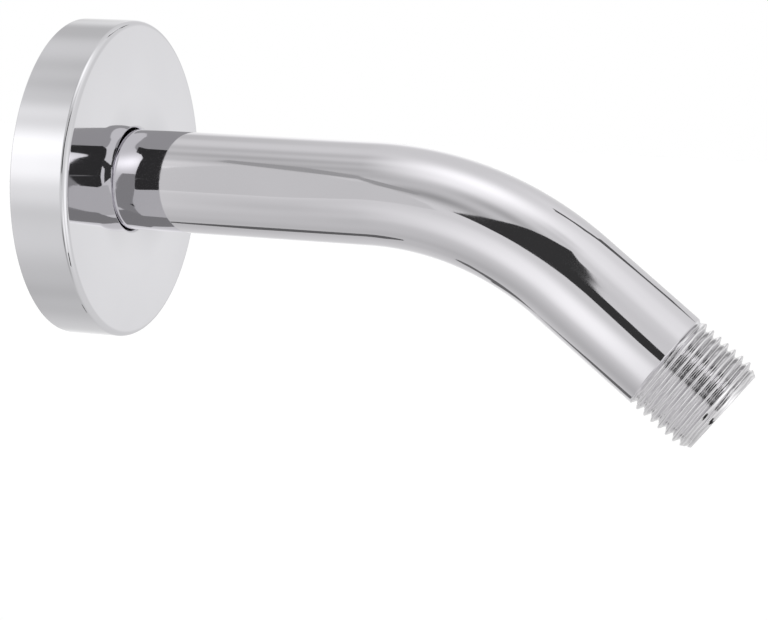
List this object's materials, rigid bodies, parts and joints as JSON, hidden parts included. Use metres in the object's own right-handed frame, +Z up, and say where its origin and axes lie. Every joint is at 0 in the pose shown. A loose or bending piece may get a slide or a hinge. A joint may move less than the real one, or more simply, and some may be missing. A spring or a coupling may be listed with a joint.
{
  "type": "shower arm",
  "caption": "Short bent shower arm: chromed tube with male pipe threads at both ends and a round cup-shaped wall flange that slides on it.",
  "frame": {"origin": "centre of the flange's back rim, on the straight run's axis, where the arm leaves the wall", "axes": "+X out of the wall along the straight run, +Z up, the outlet bends down in the XZ plane"},
  "size_m": [0.1495, 0.065, 0.0771],
  "materials": {
    "tube_chrome": "polished",
    "flange_chrome": "polished",
    "seal_rubber": "matt"
  },
  "bodies": {
    "arm": {"arm_tube": "tube_chrome"},
    "seal": {"flange_seal": "seal_rubber"},
    "flange": {"wall_flange": "flange_chrome"}
  },
  "joints": [
    {"name": "flange_slide", "type": "slide", "parent": "arm", "child": "seal", "axis": [1, 0, 0], "range_m": [0, 0.05]},
    {"name": "flange_turn", "type": "hinge", "parent": "seal", "child": "flange", "pos_m": [0.008, 0, 0], "axis": [1, 0, 0], "continuous": true}
  ]
}
